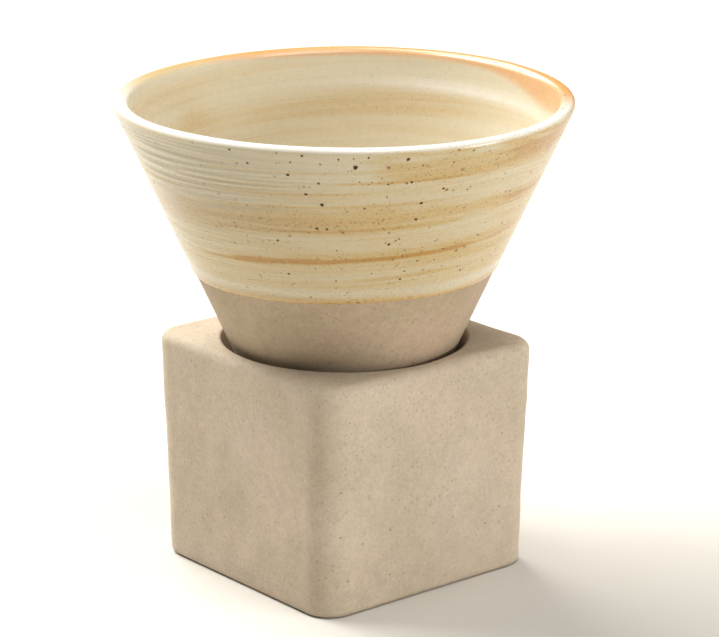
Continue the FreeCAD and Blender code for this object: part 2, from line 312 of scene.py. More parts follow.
# %% Bare clay
def bare_clay(name, pale, deep, rosy, speck_share, grain_height):
    """Matt stoneware: clouds between two colours, rosy blushes, sand, grog, iron specks, dark dots of
    painted shade in pores, and pits.

    The clay's colour is deep mixed with pale by one noise and with rosy by a broader one, times a shade
    near 1 made of two fine noises. speck_share of the cells have an iron speck, and grain_height is the
    height of the sandy relief in mm.
    """
    material, tree, shader = new_material(name)
    place = own_place(tree)
    clouds = noise(tree, place, 38.0, 4.0, 0.6)
    colour = blend_colour(tree, spread(tree, clouds, 0.3, 0.7), deep, pale)
    blush = noise(tree, own_place(tree, (62, 62, 48), (0.7, 0.4, 0)), 1.0, 3.0, 0.5)
    colour = blend_colour(tree, spread(tree, blush, 0.42, 0.75, 0.0, 0.6), colour, rosy)
    sand = noise(tree, place, 1300.0, 3.0, 0.7)
    grog = noise(tree, place, 430.0, 3.0, 0.65)
    shade = spread(tree, sand, 0.28, 0.72, 0.915, 1.065)
    shade = maths(tree, "MULTIPLY", shade, spread(tree, grog, 0.3, 0.7, 0.95, 1.045))
    grey = add_node(tree, "CombineColor", i0=shade, i1=shade, i2=shade).outputs[0]
    colour = blend_colour(tree, 1.0, colour, grey, "MULTIPLY")
    pale_grains = specks(tree, place, 900.0, 0.30, 0.30)
    colour = blend_colour(tree, maths(tree, "MULTIPLY", pale_grains, 0.08), colour, (0.78, 0.72, 0.60))
    # Painted shade: dark dots stand for the shade inside tiny pores.
    pore_shade = specks(tree, place, 780.0, 0.26, 0.75)
    colour = blend_colour(tree, maths(tree, "MULTIPLY", pore_shade, 0.26), colour, (0.20, 0.13, 0.08))
    iron = specks(tree, place, 520.0, 0.14, speck_share)
    colour = blend_colour(tree, maths(tree, "MULTIPLY", iron, 0.55), colour, (0.11, 0.065, 0.035))
    tree.links.new(colour, shader.inputs["Base Color"])
    tree.links.new(spread(tree, sand, 0.2, 0.8, 0.68, 0.84), shader.inputs["Roughness"])
    shader.inputs["Specular IOR Level"].default_value = 0.45
    shader.inputs["Sheen Weight"].default_value = 0.10
    shader.inputs["Sheen Roughness"].default_value = 0.45
    pits = specks(tree, place, 420.0, 0.20, 0.35)
    relief = maths(tree, "SUBTRACT", sand, maths(tree, "MULTIPLY", pits, 0.8))
    broad = noise(tree, place, 260.0, 2.0)
    relief = maths(tree, "MULTIPLY_ADD", broad, 1.2, relief)
    bump = add_node(tree, "Bump", Height=relief, Distance=grain_height * MM, Strength=1.0)
    tree.links.new(bump.outputs[0], shader.inputs["Normal"])
    print(f"material {name}")
    return material


STAND_CLAY = bare_clay("stand_stoneware", pale=(0.565, 0.47, 0.35), deep=(0.49, 0.405, 0.285),
                       rosy=(0.585, 0.45, 0.345), speck_share=0.10, grain_height=0.055)
CUP_CLAY = bare_clay("cup_stoneware", pale=(0.485, 0.38, 0.256), deep=(0.42, 0.318, 0.207),
                     rosy=(0.50, 0.345, 0.25), speck_share=0.12, grain_height=0.035)

# %% [markdown]
# The stand is a cast block with rounded edges and a conical well. It could be modelled with booleans, but
# one profile carried round a rounded square gives clean rings that follow every edge. The profile runs
# from the well's floor up its wall, over the lip and across the top, down the side, and under the foot.
# Corners crowd the angles, so more of the grid is spent where the block turns.

# %% Stand, outside
STAND_AROUND = 400
even = np.arange(STAND_AROUND) / STAND_AROUND * 2 * math.pi
STAND_ANGLE = even + 0.45 / 4 * np.sin(4 * even)

TOP_HALF = STAND_HIGH.x / MM + 0.05
FOOT_HALF = 29.05
CORNER = 6.4
HOLLOW_HALF, HOLLOW_CORNER = 23.8, 4.0
WELL_MOUTH = 26.85
WELL_FLOOR = WELL_MOUTH - (STAND_TOP - SEAT) * SLOPE

HOLLOW_START = 4.0  # height at which the hollow's straight wall begins

outside = rounded_profile([
    (0, SEAT, 0, 0, 0, 12),
    (WELL_FLOOR, SEAT, 0, 2.0, 8, 26),
    (WELL_MOUTH, STAND_TOP, 0, 0.8, 9, 10),
    (TOP_HALF, STAND_TOP, TOP_HALF - CORNER, 2.2, 12, 46),
    (FOOT_HALF, 0, FOOT_HALF - CORNER, 1.4, 9, 3),
    (HOLLOW_HALF, 0, HOLLOW_HALF - HOLLOW_CORNER, 0.5, 5, 0),
    (HOLLOW_HALF, HOLLOW_START, HOLLOW_HALF - HOLLOW_CORNER, 0, 0, 0),
])
stand_rings = rings_from(outside, STAND_ANGLE)
print("rings outside:", len(outside))

# %% [markdown]
# Underneath, the casting is hollow. The well's own wall hangs in it like a blunt cone and runs into the
# sides, so the hollow ends at a different height in each direction: where the cone's radius has grown to
# the wall's. A soft arch joins the two there, as slip does when it settles in a mould.

# %% Stand, underneath
WELL_WALL = 4.6
JACKET_FOOT = SEAT - WELL_WALL
JACKET_LOW = WELL_MOUTH - (STAND_TOP - JACKET_FOOT) * SLOPE + WELL_WALL / math.cos(LEAN)
ARCH_BELOW, ARCH_LIMIT, ARCH_HEIGHT = 3.0, 44.0, 1.0


def under_rings(angle):
    """Rings from the hollow's wall, over the arch and down the cone, to the middle of its blunt end.

    The wall stands at the rounded square's reach w. The cone has radius low + (z - foot) tan(lean), so it
    meets the wall at z = foot + (w - low) / tan(lean). The arch starts 3 mm below that, at most at 44 mm,
    and is half an ellipse 1 mm high from the wall to the cone.
    """
    wall = square_reach(angle, HOLLOW_HALF, HOLLOW_HALF - HOLLOW_CORNER)
    meet = JACKET_FOOT + (wall - JACKET_LOW) / SLOPE
    edge = meet - ARCH_BELOW
    edge = edge - np.logaddexp(0, (edge - ARCH_LIMIT) * 2) / 2
    cone = JACKET_LOW + (edge - JACKET_FOOT) * SLOPE
    rows = []
    for t in np.linspace(0, 1, 14)[1:]:
        rows.append((wall, HOLLOW_START + t * (edge - HOLLOW_START)))
    for turn in np.linspace(0, math.pi, 9)[1:]:
        middle, half = (wall + cone) / 2, (wall - cone) / 2
        rows.append((middle + half * math.cos(turn), edge + ARCH_HEIGHT * math.sin(turn)))
    for t in np.linspace(1, 0.06, 16)[1:]:
        z = JACKET_FOOT + t * (edge - JACKET_FOOT)
        rows.append((JACKET_LOW + (z - JACKET_FOOT) * SLOPE, z))
    for share in (0.975, 0.93, 0.8, 0.6, 0.4, 0.2, 0.0):
        rows.append((JACKET_LOW * share + 0 * angle, JACKET_FOOT + 0 * angle))
    return np.array([np.stack([r * np.cos(angle), r * np.sin(angle), z], axis=-1) for r, z in rows])


stand_rings = np.vstack([stand_rings, under_rings(STAND_ANGLE)])
print("rings in all:", len(stand_rings))

# %% [markdown]
# A real block is never as flat as a drawing. Each face is pushed in and out by up to a fifth of a
# millimetre, more round the rounded corners, and not at all at the foot, which has to stand flat.

# %% Stand, made by hand
level = stand_rings[..., 2]
spread_out = np.linalg.norm(stand_rings[..., :2], axis=-1)
on_side = ease(spread_out, 27.6, 29.2) * ease(level, 0.0, 4.0)
sway = 0.16 * soft_waves(stand_rings, 34, 3) + 0.07 * soft_waves(stand_rings, 9, 4)
stand_rings[..., :2] *= (1 + on_side * (sway - 0.08) / np.maximum(spread_out, 1))[..., None]
on_top = ease(level, STAND_TOP - 2.5, STAND_TOP - 0.5) * ease(spread_out, 26.2, 27.6)
stand_rings[..., 2] += on_top * (0.10 * soft_waves(stand_rings, 22, 5) - 0.06)
stand = skin("stand_block", stand_rings, "stand", "stand", STAND_CLAY)

# %% [markdown]
# The rim of a hand-made cup rises and falls a little. Each piece could be bent on its own, but then the
# glaze might leave the clay. That wave is one rule, which clay, glaze and iron spots all follow.


# %% A hand-made rim
RIM_TILT, TILT_TOWARDS = 0.30, math.radians(60)
RIM_SWAY, SWAY_TOWARDS = 0.25, math.radians(20)
RIM_FADE = 34  # mm below the rim where the wave has died out


def hand_rim(points):
    """Points with the top of the cup raised by tilt cos(a - towards) + sway cos(2 (a - towards))."""
    around = np.arctan2(points[..., 1], points[..., 0])
    lift = RIM_TILT * np.cos(around - TILT_TOWARDS) + RIM_SWAY * np.cos(2 * (around - SWAY_TOWARDS))
    moved = points.copy()
    moved[..., 2] += lift * ease(points[..., 2], RIM_TOP - RIM_FADE, RIM_TOP)
    return moved


print(f"the rim rises and falls by up to {RIM_TILT + RIM_SWAY:.2f} mm")

# %% [markdown]
# The cup is thrown or jiggered as one cone and then turned at the foot. Its clay is one closed profile
# from the floor inside, up the wall, over the lip, down the outside, and round the foot ring. A cone with
# modifiers would need a bevel for each edge, and here each edge has a radius of its own in the profile.

# %% Cup, clay
CUP_AROUND = 240
CUP_ANGLE = np.arange(CUP_AROUND) / CUP_AROUND * 2 * math.pi
FLOOR = SEAT + 6.0
FOOT_HOLLOW, HOLLOW_RISE = 9.0, 1.2  # radius and depth of the hollow inside the foot ring
FOOT_RADIUS = clay_outside(SEAT)
INSIDE_RIM = CLAY_RIM - CLAY / math.cos(LEAN)
INSIDE_FLOOR = INSIDE_RIM - (CLAY_TOP - FLOOR) * SLOPE
LIP, INNER_LIP, FLOOR_ROUND = 0.95, 2.1, 9.0

clay_profile = rounded_profile([
    (0, FLOOR, 0, 0, 0, 4),
    (INSIDE_FLOOR, FLOOR, 0, FLOOR_ROUND, 16, 30),
    (INSIDE_RIM, CLAY_TOP, 0, INNER_LIP, 9, 1),
    (CLAY_RIM, CLAY_TOP, 0, LIP, 8, 90),
    (FOOT_RADIUS, SEAT, 0, 0.8, 8, 3),
    (FOOT_HOLLOW + 0.6, SEAT, 0, 0.4, 5, 1),
    (FOOT_HOLLOW, SEAT + HOLLOW_RISE, 0, 0.5, 5, 6),
    (0, SEAT + HOLLOW_RISE, 0, 0, 0, 0),
])
clay_rings = rings_from(clay_profile, CUP_ANGLE)
outer = (np.abs(clay_profile[:, 0] - clay_outside(clay_profile[:, 1])) < 0.02)[:, None]
turned = 0.014 * soft_waves(clay_rings, 3.2, 8, (60, 60, 1)) + 0.03 * soft_waves(clay_rings, 26, 9)
from_axis = np.maximum(np.linalg.norm(clay_rings[..., :2], axis=-1), 1)
clay_rings[..., :2] *= (1 + outer * (turned - 0.02) / from_axis)[..., None]
cup = skin("cup_cone", hand_rim(clay_rings), "cup", "cup_body", CUP_CLAY)

# %% [markdown]
# Glaze is glass poured over the clay. It covers the inside, runs over the lip and stops on the outside at
# a dipped line, which is never quite level. Solidify could thicken a copy of the clay, but it would know
# nothing of that line. So the clay's own profile is drawn again, down to the line in every direction.

# %% Clay under the glaze
TURN = math.radians(-39.584)  # the direction of the cup's front, which the camera looks at too
VIEW = math.atan2(-math.cos(TURN), math.sin(TURN))
OUTSIDE_ROWS = 196


def edge_height(angle):
    """Height of the dipped line: level, with three slow waves of a few tenths of a millimetre."""
    facing = angle - VIEW
    slow = 0.45 * np.sin(facing + 0.1) + 0.12 * np.cos(3 * facing)
    return GLAZE_EDGE - 0.25 + slow + 0.08 * np.sin(7 * facing)


inner_profile = rounded_profile([
    (0, FLOOR, 0, 0, 0, 5),
    (INSIDE_FLOOR, FLOOR, 0, FLOOR_ROUND, 18, 66),
    (INSIDE_RIM, CLAY_TOP, 0, INNER_LIP, 12, 1),
    (CLAY_RIM, CLAY_TOP, 0, LIP, 10, 0),
    (clay_outside(90), 90, 0, 0, 0, 0),
])[:-1]
lip_end = inner_profile[-1, 1]
down = np.linspace(0, 1, OUTSIDE_ROWS + 1)[1:, None]
wall_height = lip_end + down * (edge_height(CUP_ANGLE)[None, :] - lip_end)
wall_reach = clay_outside(wall_height)
wall = np.stack([wall_reach * np.cos(CUP_ANGLE), wall_reach * np.sin(CUP_ANGLE), wall_height], -1)
under_coat = np.concatenate([rings_from(inner_profile, CUP_ANGLE), wall])
print(f"the dipped line is at {wall_height[-1].min():.2f} to {wall_height[-1].max():.2f} mm")

# %% [markdown]
# A thrower's fingers leave rings one to three millimetres apart, and the glaze softens them into low
# ridges. Bump in a material would show them, but not at the outline, so they are real geometry.

# %% Throwing rings


def out_of_clay(grid):
    """Unit normals of a grid of rings, from its two directions: along the profile, then round the axis."""
    along = np.gradient(grid, axis=0)
    round_axis = np.roll(grid, -1, axis=1) - np.roll(grid, 1, axis=1)
    normal = np.cross(along, round_axis)
    size = np.linalg.norm(normal, axis=-1, keepdims=True)
    return np.where(size > 1e-9, normal / np.maximum(size, 1e-9), [0, 0, 1])


def throwing_rings(grid):
    """Ridges left by fingers: sines of height with three pitches, each fading in and out round the wall.

    The ridge climbs by one pitch in a turn, as a thrower's finger does. High at the front left the rings
    are up to three times as strong.
    """
    turn = np.arctan2(grid[..., 1], grid[..., 0]) / (2 * math.pi)
    total = 0
    for pitch, share, seed in ((0.95, 0.022, 21), (1.55, 0.018, 22), (2.9, 0.030, 23)):
        fade = 0.5 + 0.7 * soft_waves(grid, 45, seed, (1, 1, 0.25))
        wander = 0.7 * soft_waves(grid, 45, seed + 40, (2, 2, 0.25))
        wave = np.sin(2 * math.pi * (grid[..., 2] / pitch + turn + wander))
        total = total + share * np.clip(fade, 0, 1.4) * wave
    front_left = np.cos(2 * math.pi * turn - VIEW + 0.8)
    return total * (1 + 1.9 * ease(front_left, 0.6, 1.0) * ease(grid[..., 2], 85, 95))


row_is_outside = np.arange(len(under_coat))[:, None] >= len(inner_profile)
ridges = throwing_rings(under_coat) * np.where(row_is_outside, 1.0, 0.8)
print(f"ridges from {ridges.min():.3f} to {ridges.max():.3f} mm")

# %% [markdown]
# The coat is a closed shell. Its face is the clay moved out along its normals by the coat's thickness, and
# its back lies on the clay. At the dipped line surface tension draws it into a thin bead and then rounds it
# down to nothing, as a quarter of a circle does.

# %% Coat of glaze
FACE = COAT - 0.03  # thickness between the ridges
THINNEST, EDGE_ROUND = 0.12, 0.55
FAR = 99  # stands for a place nowhere near the dipped line

up_the_wall = (under_coat[..., 2] - edge_height(CUP_ANGLE)) / math.cos(LEAN)
above_edge = np.where(row_is_outside, up_the_wall, FAR)
bead = 0.10 * bell(above_edge, 0.9, 0.6)
thick = FACE + bead + ridges * ease(above_edge, 0.5, 2.5)
thick = np.maximum(thick, THINNEST)
thick *= np.sqrt(1 - (1 - np.clip(above_edge / EDGE_ROUND, 0, 1)) ** 2)
glaze_face = under_coat + out_of_clay(under_coat) * thick[..., None]
back_inside = np.arange(0, len(inner_profile), 3)
back_outside = np.arange(len(inner_profile), len(under_coat) - 1, 12)
back_rows = np.concatenate([back_inside, back_outside])[::-1]
glaze_rings = np.concatenate([glaze_face, under_coat[back_rows]])
print(f"glaze rows: {len(glaze_rings)}, thickness up to {thick.max():.2f} mm")

# %% [markdown]
# The glaze is cream over an iron-bearing clay. A loaded brush left streaks of ochre round the wall while
# the cup turned, some of them as sharp as a pencil line. A noise in the material would put them anywhere,
# so each streak is a row of a table, and its amount is worked out for each point of the coat.

# %% Streaks on the outside
STREAKS = [
    # height at the front, climb in mm a radian, half width, strength, from and to in degrees
    (77.6, 1.75, 0.44, 1.60, -35, 36),
    (77.7, 1.75, 0.46, 0.62, 33, 72),
    (76.9, 1.30, 0.40, 0.75, -52, -20),
    (78.4, 1.75, 1.30, 0.20, -20, 75),
    (84.8, 1.50, 0.40, 0.62, -44, 30),
    (87.3, 1.50, 2.10, 0.46, -52, 20),
    (87.5, 1.20, 1.60, 0.36, 26, 84),
    (90.5, 1.40, 0.35, 0.38, -46, 34),
    (93.4, 1.00, 0.30, 0.26, -40, 6),
    (95.9, 1.00, 0.28, 0.95, 2, 38),
    (98.3, 0.60, 0.30, 0.38, -38, 4),
    (99.9, 0.70, 3.30, 0.52, 9, 112),
    (99.6, 0.70, 2.80, 0.62, 44, 120),
    (86.9, 1.20, 0.90, 0.45, 48, 96),
    (96.9, 0.80, 0.80, 0.34, 12, 72),
    (73.0, 1.20, 0.55, 0.30, 4, 40),
]


def from_front(grid):
    """Angle of each point round the axis, in radians from the front, positive to the right."""
    return (np.arctan2(grid[..., 1], grid[..., 0]) - VIEW + math.pi) % (2 * math.pi) - math.pi


def ochre_and_shade_amount(grid):
    """Sum of soft bands in height, each over its own stretch of the wall, with ragged ends and edges.

    Each band is strength * exp(-((z - climb * turn - middle) / half)^2). The lower half of the wall starts
    from a deeper cream than the rest. Its right side is deeper still, partly ochre and partly painted shade
    in place of a darker reflection.
    """
    turn, level = from_front(grid), grid[..., 2]
    rag = 0.5 * soft_waves(grid, 9, 31, (1.6, 1.6, 0.25)) + 0.35 * soft_waves(grid, 3.5, 32, (3, 3, 0.4))
    total = 0.14 + 0.15 * (1 - ease(level, 84, 93)) + 0.10 * soft_waves(grid, 6, 33, (8, 8, 0.7))
    # Partly painted shade: the right side is deepened towards ochre in place of a darker reflection there.
    total = total + 0.34 * ease(turn, 0.70, 1.40) - 0.12 * ease(level, 93, 98)
    for middle, climb, half, strength, start, end in STREAKS:
        band = bell(level - climb * turn, middle + 0.5 * half * rag, half)
        degrees = np.degrees(turn) + 4 * rag
        stretch = ease(degrees, start - 6, start + 6) * (1 - ease(degrees, end - 12, end + 12))
        total = total + strength * band * stretch * (1 + 0.25 * rag)
    return total


print(len(STREAKS), "streaks")

# %% [markdown]
# Inside and at the back the brush left the same kind of streaks, but nobody chose their places. Two soft
# noises stretched round the wall do there. The two kinds fade into each other at the cup's sides.

# %% Ochre all round


def all_round(grid):
    """Streaks from two noises, both much longer round the wall than up it, added and kept from 0 to 1."""
    broad = soft_waves(grid, 10, 35, (7, 7, 0.8))
    fine = soft_waves(grid, 3.0, 36, (14, 14, 0.8))
    return np.clip(0.14 + 0.24 * broad + 0.12 * fine, 0, 1)


LIP_ROWS = 16  # rows of the profile from the middle of the lip's inner round to its outer end

facing = from_front(glaze_rings)
turn_behind = facing % (2 * math.pi)
height = glaze_rings[..., 2]
front_share = 1 - ease(np.abs(np.degrees(facing)), 75, 110)
is_inside = np.arange(len(glaze_rings))[:, None] < len(inner_profile) - LIP_ROWS
scattered = all_round(glaze_rings)
on_outside = front_share * ochre_and_shade_amount(glaze_rings) + (1 - front_share) * scattered
ochre = np.where(is_inside, 0.5 * scattered, on_outside)
ochre = ochre + 0.55 * is_inside * bell(height, 92.0, 3.4) * bell(turn_behind, 3.0, 0.8)
ochre[:len(above_edge)] += 0.40 * bell(above_edge, 0.6, 0.8)
warm_patch = is_inside * bell(facing, -2.2, 0.16) * bell(height, 93, 4)
print(f"ochre from {ochre.min():.2f} to {ochre.max():.2f}")

# %% [markdown]
# Where the coat is thin it fires orange: round the back of the lip, where the glaze drained away, and at the
# very edge of the dip. The front of the lip has more glaze and is made white, partly for that glaze and
# partly as a painted highlight. Its left end is darkened to tan, partly tan glaze and partly painted shade.
# A pale band runs inside under the orange.

# %% Lip
on_lip = ease(turn_behind, 1.15, 1.50) * (1 - ease(turn_behind, 3.3, 4.1))
lip_depth = np.where(is_inside, 1.2 + 5.0 * bell(facing, 1.80, 0.42), 1.0)
lip_share = on_lip * ease(height, RIM_TOP - lip_depth - 1.2, RIM_TOP - 0.5 * lip_depth)
white_band = is_inside * bell(height, 96.8, 1.1) * bell(turn_behind, 2.45, 0.7)
# Partly painted highlight: the front of the lip is made white, partly for its thicker white glaze.
white_and_highlight_front = (1 - ease(facing, 1.2, 1.65)) * (1 - ease(-facing, 1.4, 1.9))
white_and_highlight_lip = white_and_highlight_front * ease(height, RIM_TOP - 1.2, RIM_TOP - 0.5)
# Partly painted shade: the back-left of the lip is darkened to tan, partly for its tan glaze.
tan_and_shade_lip = ease(height, RIM_TOP - 1.3, RIM_TOP - 0.4) * bell(facing, -2.4, 0.62)
print(f"orange on {(lip_share > 0.5).mean():.1%} of the points, white on {(white_and_highlight_lip > 0.5).mean():.1%}")

# %% [markdown]
# Just above the dipped edge the glaze has run thick and stays pale. High at the front left the glaze is
# darkened towards grey over the throwing rings: painted shade. Iron has bled most at the front right.

# %% Edge, painted shade and iron
thin_edge = np.zeros_like(ochre)
thin_edge[:len(above_edge)] = 0.34 * bell(above_edge, 0.3, 0.60) + 0.22 * bell(above_edge, 1.1, 1.0)
pale_edge = np.zeros_like(ochre)
pale_edge[:len(above_edge)] = 0.8 * bell(above_edge, 2.9, 1.1)
iron = (0.45 + 0.55 * ease(np.degrees(facing), -40, 12)) * (1 - ease(np.abs(facing), 1.4, 2.0) * 0.6)
iron = iron * np.where(is_inside, 0.35, 1.0)
# Painted shade: high at the front left the glaze is darkened towards grey, following the throwing rings.
painted_shade = np.zeros_like(ochre)
painted_shade[:len(above_edge)] = row_is_outside * np.clip(0.60 + 7 * ridges, 0, 1)
below_lip = 1 - ease(height, RIM_TOP - 1.6, RIM_TOP - 0.8)
painted_shade = 0.75 * painted_shade * bell(facing, -0.66, 0.42) * ease(height, 74, 90) * below_lip
print(f"worn up to {painted_shade.max():.2f}, iron from {iron.min():.2f} to {iron.max():.2f}")

# %% [markdown]
# A glaze is glass with colour in it. The streak amount picks a place on a run of colours from cream to
# ochre to burnt brown. Two noises drawn out along the wall add the brush's own fine hairs, and iron that
# has bled out of the clay freckles it: dust-fine and rusty in the ochre, larger and darker elsewhere. The
# shader's coat gives the sharp window light that lies over the softer gloss of the glaze.

# %% Glaze, material
CREAM, OCHRE, BURNT = (0.61, 0.535, 0.37), (0.555, 0.40, 0.175), (0.465, 0.26, 0.07)
PALE, SHADE_GREY, ORANGE, WHITE_AND_PAINTED_LIGHT = (0.62, 0.55, 0.40), (0.38, 0.345, 0.25), (0.60, 0.295, 0.085), (0.82, 0.78, 0.68)
RUST, FINE_RUST, DARK_RUST = (0.23, 0.10, 0.028), (0.26, 0.12, 0.035), (0.15, 0.068, 0.024)


def streaked_glaze():
    """Glossy cream glaze: ochre where streaks say so, orange where it is thin, with iron freckles.

    The place on the run of colours is ochre + 0.75 (brushed - 0.5) + 0.70 (hairs - 0.5)
    + 0.12 (mottle - 0.5).
    """
    material, tree, shader = new_material("cream_glaze")

    def amount(name):
        return add_node(tree, "Attribute", {"attribute_name": name}).outputs["Fac"]

    place = own_place(tree)
    tilt = (math.radians(1.9), math.radians(2.3), 0)  # the streaks climb to the right, about 3 degrees
    hairs = noise(tree, own_place(tree, (5, 5, 1400), tilt), 1.0, 4.0, 0.65)
    brushed = noise(tree, own_place(tree, (6, 6, 420), tilt), 1.0, 4.0, 0.6)
    mottle = noise(tree, place, 420.0, 3.0, 0.6)
    streak = maths(tree, "MULTIPLY_ADD", maths(tree, "SUBTRACT", brushed, 0.5), 0.75, amount("ochre"))
    streak = maths(tree, "MULTIPLY_ADD", maths(tree, "SUBTRACT", hairs, 0.5), 0.70, streak)
    streak = maths(tree, "MULTIPLY_ADD", maths(tree, "SUBTRACT", mottle, 0.5), 0.12, streak)
    colour = blend_colour(tree, spread(tree, streak, -0.05, 0.65), CREAM, OCHRE)
    colour = blend_colour(tree, spread(tree, streak, 0.66, 1.35), colour, BURNT)
    colour = blend_colour(tree, amount("pale"), colour, PALE)
    # Painted shade: the glaze high at the front left is darkened towards grey.
    colour = blend_colour(tree, amount("painted_shade"), colour, SHADE_GREY)
    colour = blend_colour(tree, spread(tree, amount("thin"), 0.1, 1.0), colour, ORANGE)
    # The white amount holds the front lip's partly painted highlight and the inside's partly painted light.
    colour = blend_colour(tree, amount("white_and_painted_light"), colour, WHITE_AND_PAINTED_LIGHT)

    rusty = maths(tree, "MULTIPLY_ADD", spread(tree, streak, 0.2, 0.8), 0.85, 0.2)
    dust = maths(tree, "MULTIPLY", specks(tree, place, 1250.0, 0.30, 0.95), amount("iron"))
    dust = maths(tree, "MULTIPLY", dust, rusty)
    colour = blend_colour(tree, maths(tree, "MULTIPLY", dust, 0.70), colour, RUST)
    turned_place = own_place(tree, turn=(0.5, 0.3, 0))
    finest = maths(tree, "MULTIPLY", specks(tree, turned_place, 1900.0, 0.34, 0.95), rusty)
    colour = blend_colour(tree, maths(tree, "MULTIPLY", finest, 0.42), colour, FINE_RUST)
    freckles = maths(tree, "MULTIPLY", specks(tree, place, 480.0, 0.17, 0.55), amount("iron"))
    colour = blend_colour(tree, maths(tree, "MULTIPLY", freckles, 0.80), colour, DARK_RUST)
    tree.links.new(colour, shader.inputs["Base Color"])
    tree.links.new(spread(tree, mottle, 0.2, 0.8, 0.25, 0.31), shader.inputs["Roughness"])
    shader.inputs["IOR"].default_value = 1.48
    shader.inputs["Specular IOR Level"].default_value = 0.36
    shader.inputs["Coat Weight"].default_value = 0.27
    shader.inputs["Coat Roughness"].default_value = 0.14
    relief = maths(tree, "MULTIPLY_ADD", hairs, 0.6, brushed)
    bump = add_node(tree, "Bump", Height=relief, Distance=0.02 * MM, Strength=1.0)
    tree.links.new(bump.outputs[0], shader.inputs["Normal"])
    print("material cream_glaze")
    return material


GLAZE = streaked_glaze()

# %% [markdown]
# The coat is now made like the other skins, and each amount is stored on its points under the name that
# the material reads. A picture painted and wrapped round the wall could do the same, but it would blur.

# %% Glaze, piece
glaze = skin("cup_glaze_coat", hand_rim(glaze_rings), "cup", "cup_glaze", GLAZE)
thin = thin_edge + lip_share + 0.25 * tan_and_shade_lip + 0.15 * warm_patch
# Partly painted light: the whole inside is made a little paler, partly for a paler glaze.
white_and_painted_light = white_and_highlight_lip + 0.60 * white_band + 0.16 * is_inside
paint_points(glaze, "ochre", ochre + 0.35 * warm_patch + 0.55 * tan_and_shade_lip)
paint_points(glaze, "thin", np.clip(thin, 0, 1))
paint_points(glaze, "pale", np.clip(pale_edge, 0, 1))
paint_points(glaze, "white_and_painted_light", np.clip(white_and_painted_light, 0, 1))
paint_points(glaze, "iron", iron)
paint_points(glaze, "painted_shade", painted_shade)
print("amounts stored:", len(glaze.data.attributes))

# %% [markdown]
# Some iron specks are large enough to see one by one. Each has melted into a small dark blister with a brown
# edge. In the material's noise they would fall anywhere, so the largest are listed. Their places were not
# chosen by hand: a measuring script found them, and they are copied here, slightly rounded. Their radii were
# chosen one by one. A seeded draw scatters small ones, thickest at the front right.

# %% Places of the iron spots
MAIN_SPOTS = [
    # degrees from the front, height, radius in mm
    (3, 99.8, 0.62), (-5.5, 91, 0.50), (15.5, 101.4, 0.42), (-13.5, 97.6, 0.40), (-9.5, 93.4, 0.38),
    (21, 90.8, 0.40), (20.5, 87, 0.36), (26.5, 93.8, 0.34), (-7.3, 85.4, 0.36), (-4.5, 85.3, 0.30),
    (13.5, 81.4, 0.36), (15.5, 82.3, 0.26), (-19.5, 82, 0.32), (-18, 74.1, 0.30), (19, 72.7, 0.32),
    (-9.5, 102.2, 0.30), (6, 102, 0.28), (-1, 101.6, 0.26), (17.3, 96, 0.34), (11.3, 95.8, 0.28),
    (-23.5, 99.6, 0.30), (-27.5, 102.2, 0.28), (-35, 91.3, 0.24), (-6, 96, 0.30), (20, 74.6, 0.24),
]
SMALL_SPOTS = 150


def spot_places():
    """Rows of (degrees, height, radius): the main spots, then small ones of radius 0.13 + 0.12 u^2.

    Six small spots in ten lie round a place 14 degrees to the right of the front, the rest anywhere.
    """
    draw = np.random.default_rng(61)
    count = SMALL_SPOTS
    turn = np.where(draw.random(count) < 0.6, draw.normal(14, 24, count), draw.uniform(-180, 180, count))
    small = 0.13 + 0.12 * draw.random(count) ** 2
    return np.vstack([np.array(MAIN_SPOTS), np.column_stack([turn, draw.uniform(69, 102.6, count), small])])


places = spot_places()
print(len(places), "iron spots, the largest", places[:, 2].max(), "mm in radius")

# %% [markdown]
# Each spot is a thin lens. A small sphere for each would have hundreds of faces that nobody sees, so three
# rings and two middles make a cap and a flat underside, and all the spots are one mesh.

# %% Shape of the iron spots
SPOT_AROUND, SPOT_RISE = 12, 0.035
SPOT_RINGS = np.array([1.0, 0.72, 0.36])  # shares of a spot's radius


def on_glaze(angle, height, rise):
    """Points on the glaze's outer face: the clay's radius plus (coat + ridges + rise) / cos(lean)."""
    wall = clay_outside(height)
    clay = np.stack([wall * np.cos(angle), wall * np.sin(angle), height], -1)
    reach = wall + (FACE + throwing_rings(clay) + rise) / math.cos(LEAN)
    return np.stack([reach * np.cos(angle), reach * np.sin(angle), height], -1)


def spot_points(places):
    """Rings and two middles of each spot's lens: at share t of the radius it stands rise (1 - t^2) high.

    A point at distance d and direction s from the middle is d cos(s) along the wall's circle and
    d sin(s) up its slope. The outline is a circle whose radius sways by a tenth.
    """
    angle, height, radius = np.radians(places[:, :1]) + VIEW, places[:, 1:2], places[:, 2:]
    step = np.arange(SPOT_AROUND) / SPOT_AROUND * 2 * math.pi
    outline = radius * (1 + 0.08 * np.cos(2 * step + 7 * angle) + 0.06 * np.cos(3 * step + height))
    rings = []
    for share in SPOT_RINGS:
        along = share * outline * np.cos(step) / clay_outside(height)
        upward = share * outline * np.sin(step) * math.cos(LEAN)
        rings.append(on_glaze(angle + along, height + upward, SPOT_RISE * (1 - share ** 2) - 0.01 * share))
    middles = [on_glaze(angle, height, SPOT_RISE), on_glaze(angle, height, -0.05)]
    return np.concatenate(rings + middles, axis=1)


